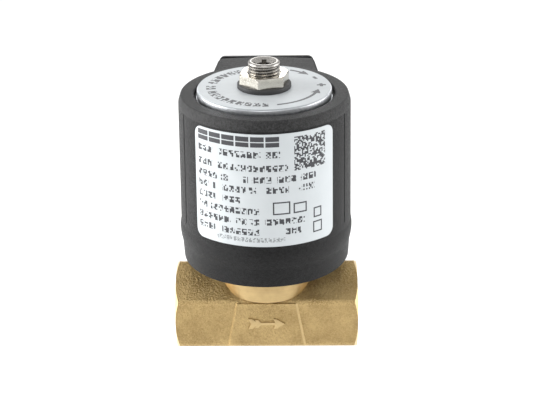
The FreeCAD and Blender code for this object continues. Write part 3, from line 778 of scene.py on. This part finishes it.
dial_low, dial_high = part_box("dial_label")
dial_radius = (dial_high.x - dial_low.x) / 2 / mm
dial_foot = dial_low.z / mm
dial_top = dial_high.z / mm
dial_hole = 8.0
dial = turned([(dial_hole, dial_foot, 0), (dial_radius, dial_foot, 0),
               (dial_radius, dial_top, 0.08), (dial_hole, dial_top, 0)], 192)
dial_film = Finish("dial_film", roughness=0.5, specular_ior_level=0.35)
across, deep, height = dial_film.parts(dial_film.place())
across = (across - stem_x) * 1000
deep = deep * 1000
radius = (across * across + deep * deep).root()
azimuth = dial_film.angle(across, 0 - deep)
band = dial_film.band
words = band(azimuth, -76, 5) | band(azimuth, -93, -82) | band(azimuth, -152, -100)
small_print = band(radius, 15.2, 18.2) * words
small_print = small_print * marks(dial_film, azimuth + 400, radius, 1.9, 0.75, 9.5, 0.75)


def curved_arrow(start, neck, tip, at, half):
    """Line from start to neck, in degrees round the dial, with a head that ends at tip."""
    low, high = sorted((start, neck))
    line = band(azimuth, low, high) * (abs(radius - at) < half)
    low, high = sorted((neck, tip))
    width = abs(azimuth - tip) * (1.6 / abs(tip - neck))
    return line | band(azimuth, low, high) * (abs(radius - at) < width)


sign_radius = 17.9
degree_arc = 0.312  # millimetres to one degree at the signs
plus_arc = abs(azimuth - 94) * degree_arc
minus_arc = abs(azimuth - 117) * degree_arc
off_centre = abs(radius - sign_radius)
plus = (off_centre < 0.5) * (plus_arc < 1.4) | (off_centre < 1.4) * (plus_arc < 0.5)
minus = (off_centre < 0.52) * (minus_arc < 1.2)
arrows = curved_arrow(14, 69, 81, 17.0, 0.5) | curved_arrow(153, 140, 128, 17.8, 0.5)
dial_ink = small_print | plus | minus | arrows
sheen = dial_film.noise(4 * mm, 3.0)
pale = dial_film.blend(sheen, (0.43, 0.45, 0.47), (0.50, 0.53, 0.54))
dial_film.set("Base Color", dial_film.blend(dial_ink * 0.92, pale, (0.05, 0.05, 0.055)))
gloss = dial_film.noise(0.6 * mm)
dial_film.set("Roughness", dial_film.between(gloss, 0.3, 0.7, 0.45, 0.6))
dial_film.relief(dial_film.noise(2 * mm), 0.008 * mm)
on_body(piece(dial, "dial_ring", dial_film), "coil", "label_film", "dial_label")


# ---- Sealing washer ------------------------------------------------------------------------
# A punched ring of black nitrile rubber with a faint bloom. The lock nut clamps it on the dial,
# and its upper edge is pressed round.
rubber = Finish("seal_rubber", roughness=0.62)
bloom = rubber.noise(1.5 * mm, 3.0)
rubber.set("Base Color", rubber.blend(bloom, (0.018, 0.018, 0.019), (0.035, 0.035, 0.035)))
rubber.set("Roughness", rubber.between(bloom, 0.3, 0.7, 0.52, 0.72))
rubber.relief(rubber.noise(0.25 * mm, 2.0), 0.015 * mm)
washer_low, washer_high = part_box("sealing_washer")
washer_radius = (washer_high.x - washer_low.x) / 2 / mm
washer_foot = washer_low.z / mm
washer_top = washer_high.z / mm
washer_hole = 5.2
washer = turned([(washer_hole, washer_foot, 0), (washer_radius, washer_foot, 0.15),
                 (washer_radius, washer_top, 0.5), (washer_hole, washer_top, 0.1)], 96)
on_body(piece(washer, "rubber_washer", rubber), "coil", "seal_rubber", "sealing_washer")


# ---- Lock nut ------------------------------------------------------------------------------
# A thin hexagon nut, 14 mm across flats, parted from brass bar, chamfered mostly on top and nickel
# plated. Its corner edges are a little rounded from tumbling.
nickel = Finish("nickel_plate", metallic=1.0, roughness=0.2)
smoke = nickel.noise(2.2 * mm, 3.0)
nicks = nickel.noise(0.35 * mm, 3.0, rough=0.7)
nickel.set("Base Color", nickel.blend(smoke, (0.72, 0.68, 0.59), (0.82, 0.78, 0.70)))
nickel.set("Roughness", nickel.between(nicks + 0.5 * smoke, 0.5, 1.0, 0.14, 0.24))
nickel.relief(nicks, 0.0012 * mm)


def hex_bar(name, finish, across_flats, low, high, centre, turn, foot_chamfer, top_chamfer):
    """Upright hexagon with its corners turned down at 45 degrees, by the two chamfers' depths."""
    point = across_flats / math.sqrt(3)
    bar = bmesh.new()
    spot = centre + Vector((0, 0, (low + high) / 2)) * mm
    place = Matrix.Translation(spot) @ Matrix.Rotation(math.radians(turn - 90), 4, "Z")
    bmesh.ops.create_cone(bar, cap_ends=True, segments=6, radius1=point * mm, radius2=point * mm,
                          depth=(high - low) * mm, matrix=place)
    rounded(bar, [edge for edge in bar.edges if rise_of(edge) > 0.5 * mm], 0.1 * mm, 3)
    made = piece(bar, name, finish)
    past = 0.4
    outside = point + past
    ends = turned([(0, low, 0), (point - foot_chamfer, low, 0.05),
                   (outside, low + foot_chamfer + past, 0),
                   (outside, high - top_chamfer - past, 0),
                   (point - top_chamfer, high, 0.05), (0, high, 0)], 96, centre, False)
    carve(made, "INTERSECT", ends, finish)
    return made


nut_low, nut_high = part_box("lock_nut")
nut_foot = nut_low.z / mm
nut_top = nut_high.z / mm
nut_thread = 5.05
nut_mouth = 6.3
nut = hex_bar("hexagon_nut", nickel, 14.0, nut_foot, nut_top, stem, 18, 0.1, 0.6)
nut_bore = turned([(0, nut_foot - 1, 0), (nut_mouth, nut_foot - 1, 0),
                   (nut_thread, nut_foot + 0.3, 0), (nut_thread, nut_top - 0.3, 0),
                   (nut_mouth, nut_top + 1, 0), (0, nut_top + 1, 0)], 96, stem, False)
carve(nut, "DIFFERENCE", nut_bore, nickel)
settle(nut, 20)
on_body(nut, "lock_nut", "nickel_plate", "lock_nut")


# ---- Regulator screw -----------------------------------------------------------------------
# A brass screw, M10 x 1, nickel plated, with a plain land at its top and a socket with four key
# slots. Turning it counter-clockwise raises the stop pin and lets more gas through.
screw_low, screw_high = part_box("regulator_sleeve")
screw_nickel = Finish("screw_nickel", metallic=1.0, roughness=0.26)
across, deep, height = screw_nickel.parts(screw_nickel.place())
across = across - stem_x
out = (across * across + deep * deep).root() * 1000
thread_root = 4.42
grime = screw_nickel.noise(0.6 * mm, 3.0)
# Painted shade: the nickel turns dark near the thread's root radius, in the grooves between the
# ridges and on the core under them.
crest = screw_nickel.between(abs(out - thread_root) + 0.1 * grime, 0.08, 0.4)
screw_nickel.set("Base Color", screw_nickel.blend(crest, (0.09, 0.085, 0.08), (0.50, 0.48, 0.45)))
screw_nickel.set("Roughness", screw_nickel.between(grime, 0.3, 0.7, 0.2, 0.4))
screw_nickel.relief(grime, 0.01 * mm)
screw_foot = screw_low.z / mm
screw_top = screw_high.z / mm
guide = 4.6
groove = 3.9
land = 4.92
screw_shape = turned([(0, screw_foot, 0), (guide, screw_foot, 0.1), (guide, 65.2, 0),
                      (groove, 65.2, 0), (groove, 66.6, 0), (thread_root, 66.6, 0),
                      (thread_root, screw_top - 1.0, 0), (land, screw_top - 0.75, 0),
                      (land, screw_top - 0.35, 0.1), (4.55, screw_top, 0.12),
                      (0, screw_top, 0)], 96, stem, False)
screw = piece(screw_shape, "regulator_screw", screw_nickel)
socket_foot = screw_top - 6.5
socket = turned([(0, socket_foot, 0), (2.45, socket_foot, 0), (2.45, screw_top - 1.3, 0),
                 (4.2, screw_top + 0.2, 0), (0, screw_top + 0.2, 0)], 64, stem, False)
carve(screw, "DIFFERENCE", socket, screw_nickel)
for turn in (0, 90):
    slot = brick((-3.15, -0.75, socket_foot + 2), (3.15, 0.75, screw_top + 1), turn)
    carve(screw, "DIFFERENCE", slot, screw_nickel)
settle(screw, 25)
on_body(screw, "regulator", "nickel_plate", "regulator_sleeve")

fine_thread = thread(thread_root, 5.0, 1.0, 67.2, screw_top - 1.2)
bmesh.ops.translate(fine_thread, vec=stem, verts=fine_thread.verts)
on_body(piece(fine_thread, "regulator_thread", screw_nickel), "regulator", "nickel_plate")


# ---- Terminal cover and its screws ---------------------------------------------------------
# The lid of the terminal box, moulded in the same black plastic, held by four slotted screws of
# zinc plated steel in round recesses. Its outer edges are rounded.
cover_low, cover_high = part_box("terminal_cover")
lid = bmesh.new()
bmesh.ops.create_cube(lid, size=1.0)
bmesh.ops.scale(lid, vec=cover_high - cover_low, verts=lid.verts)
bmesh.ops.translate(lid, vec=(cover_low + cover_high) / 2, verts=lid.verts)
long_sides = [edge for edge in lid.edges
              if abs(edge.verts[0].co.y - edge.verts[1].co.y) > mm]
rounded(lid, long_sides, 2.0 * mm, 6)
rear_edges = [edge for edge in lid.edges
              if all(vert.co.y > cover_high.y - 0.01 * mm for vert in edge.verts)]
rounded(lid, rear_edges, 0.9 * mm, 4)
outward(lid)
cover = piece(lid, "terminal_lid", coil_plastic)
cover_rear = cover_high.y / mm
recess = brick((-8.5, cover_rear - 0.5, 47.5), (8.5, cover_rear + 1, 62.5))
carve(cover, "DIFFERENCE", recess, coil_plastic)
for x, z in screw_places:
    carve(cover, "DIFFERENCE", pillar(1.6, 43, 48, x, z, 24), coil_plastic)
    carve(cover, "DIFFERENCE", pillar(2.75, cover_rear - 1.5, 48, x, z, 48), coil_plastic)
settle(cover, 30)
on_body(cover, "terminal_cover", "coil_plastic", "terminal_cover")

head_seat = cover_rear - 1.48
head_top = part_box("cover_screws")[1].y / mm
head = 2.6
shank = 1.5
screw_profile = [(0, 36, 0), (1.2, 36, 0), (shank, 36.4, 0), (shank, head_seat, 0),
                 (head, head_seat, 0), (head, head_top, 0.3), (0, head_top, 0)]
for index, (x, z) in enumerate(screw_places):
    made = piece(to_rear(screw_profile, 48, x, z), "cover_screw_" + str(index + 1), zinc)
    slot = brick((-0.35, head_top - 0.7, -4), (0.35, head_top + 1, 4))
    bmesh.ops.rotate(slot, verts=slot.verts, cent=stem,
                     matrix=Matrix.Rotation(math.radians(25 + 50 * index), 3, "Y"))
    bmesh.ops.translate(slot, vec=(x * mm, 0, z * mm), verts=slot.verts)
    carve(made, "DIFFERENCE", slot, zinc)
    settle(made, 30)
    on_body(made, "terminal_cover", "zinc_plate", "cover_screws")


# ---- Cable gland ---------------------------------------------------------------------------
# A polyamide gland under the terminal box: a body with a hexagon and two threads, and a domed
# hexagon nut that squeezes a rubber ring round the cable.
gland = stem + Vector((0, gland_y, 0)) * mm
gland_plastic = Finish("gland_plastic", roughness=0.42)
flow = gland_plastic.noise(4 * mm, 3.0)
gland_black = gland_plastic.blend(flow, (0.022, 0.022, 0.024), (0.036, 0.036, 0.038))
gland_plastic.set("Base Color", gland_black)
gland_plastic.set("Roughness", gland_plastic.between(flow, 0.3, 0.7, 0.34, 0.5))
gland_plastic.relief(gland_plastic.noise(0.3 * mm, 2.0), 0.008 * mm)
cable_way = 3.7
spigot_radius = 5.98
flange = hex_bar("gland_hexagon", gland_plastic, 15.0, 33.2, 37.2, gland, 0, 0.6, 0.6)
spigot = turned([(cable_way, 25.5, 0), (spigot_radius, 25.5, 0.3), (spigot_radius, 43.5, 0.3),
                 (cable_way, 43.5, 0)], 64, gland)
carve(flange, "UNION", spigot, gland_plastic)
way_in = turned([(0, 20, 0), (5.0, 20, 0), (5.0, 31.0, 0), (cable_way, 32.0, 0),
                 (cable_way, 50, 0), (0, 50, 0)], 64, gland, False)
carve(flange, "DIFFERENCE", way_in, gland_plastic)
settle(flange, 28)
on_body(flange, "coil", "coil_plastic", "gland_body")

gland_nut = hex_bar("gland_cap", gland_plastic, 15.0, 23.2, 32.9, gland, 12, 1.1, 0.4)
cap_thread = 6.05
nut_way = turned([(0, 20, 0), (4.6, 20, 0), (cable_way, 24.2, 0.2), (cable_way, 25.2, 0),
                  (cap_thread, 25.2, 0), (cap_thread, 33.5, 0), (0, 33.5, 0)], 64, gland, False)
carve(gland_nut, "DIFFERENCE", nut_way, gland_plastic)
settle(gland_nut, 28)
on_body(gland_nut, "gland_nut", "coil_plastic", "gland_nut")


# ---- Return spring -------------------------------------------------------------------------
# A compression spring of stainless wire between the plunger and the core. In the valve it
# shortens as the plunger lifts; here it keeps one length.
def plain_metal(name, dark, light, rough):
    """Turned or drawn metal with rings from the tool and a little haze."""
    finish = Finish(name, metallic=1.0, roughness=rough)
    across, deep, height = finish.parts(finish.place())
    rings = finish.rings(height, 0.15 * mm)
    haze = finish.noise(2 * mm, 3.0)
    finish.set("Base Color", finish.blend(haze, dark, light))
    finish.set("Roughness", finish.between(rings, 0.3, 0.7, rough - 0.06, rough + 0.1))
    finish.relief(rings, 0.004 * mm)
    return finish


stainless = plain_metal("stainless", (0.52, 0.52, 0.51), (0.64, 0.64, 0.63), 0.28)
spring_low, spring_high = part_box("return_spring")
wire = 0.4
spring_radius = (spring_high.x - spring_low.x) / 2 / mm - wire
spring_foot = spring_low.z / mm + wire
spring_length = (spring_high.z - spring_low.z) / mm - 2 * wire
coils = 6.5
steps = round(coils * 40)
coil_shape = bmesh.new()
bmesh.ops.create_circle(coil_shape, cap_ends=False, radius=wire * mm, segments=12)
bmesh.ops.rotate(coil_shape, verts=coil_shape.verts, cent=origin,
                 matrix=Matrix.Rotation(math.pi / 2, 3, "X"))
bmesh.ops.translate(coil_shape, verts=coil_shape.verts,
                    vec=stem + Vector((spring_radius, 0, spring_foot)) * mm)
bmesh.ops.spin(coil_shape, geom=coil_shape.verts[:] + coil_shape.edges[:], cent=stem,
               axis=(0, 0, 1), dvec=(0, 0, spring_length / steps * mm),
               angle=2 * math.pi * coils, steps=steps, use_merge=False)
bmesh.ops.holes_fill(coil_shape, edges=coil_shape.edges, sides=12)
outward(coil_shape)
spring = piece(coil_shape, "plunger_spring", stainless)
on_body(spring, "valve_body", "stainless", "return_spring")
lift = 1.5 * mm
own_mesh(spring)


# ---- Inner parts ---------------------------------------------------------------------------
# What the housing and the neck hide keeps its designed shape: turned stainless and magnetic steel,
# a copper winding on a pale nylon bobbin, rubber seals, and the brass terminals in their block.
magnet_steel = plain_metal("magnet_steel", (0.38, 0.38, 0.39), (0.48, 0.48, 0.49), 0.34)
terminal_brass = plain_metal("terminal_brass", (0.66, 0.50, 0.24), (0.78, 0.61, 0.32), 0.3)

copper = Finish("copper_wire", metallic=1.0, roughness=0.3, coat_weight=0.5, coat_roughness=0.15)
across, deep, height = copper.parts(copper.place())
wire_pitch = 0.25 * mm
from_crown = (height / wire_pitch).fraction() - 0.5
tarnish = copper.noise(3 * mm)
copper.set("Base Color", copper.blend(tarnish, (0.50, 0.20, 0.09), (0.68, 0.31, 0.15)))
copper.relief(0.25 - from_crown * from_crown, 0.2 * mm)

nylon = Finish("pale_nylon", roughness=0.45)
fibres = nylon.noise(0.6 * mm, 3.0)
nylon.set("Base Color", nylon.blend(fibres, (0.50, 0.47, 0.40), (0.60, 0.57, 0.50)))
nylon.set("Roughness", nylon.between(fibres, 0.3, 0.7, 0.38, 0.55))
nylon.relief(fibres, 0.01 * mm)

finishes = {"stainless": stainless, "magnet_steel": magnet_steel, "turned_brass": terminal_brass,
            "copper": copper, "bobbin_plastic": nylon, "seal_rubber": rubber,
            "zinc_plate": zinc, "nickel_plate": nickel, "coil_plastic": coil_plastic,
            "label_film": label_film, "cast_brass": pressed_brass}
for entry in frame["record"]["subparts"]:
    node = frame["nodes"][entry["node"]]
    if node.hide_render:
        continue
    for holder in node.material_slots:
        holder.material = finishes[entry["material_slot"]].material
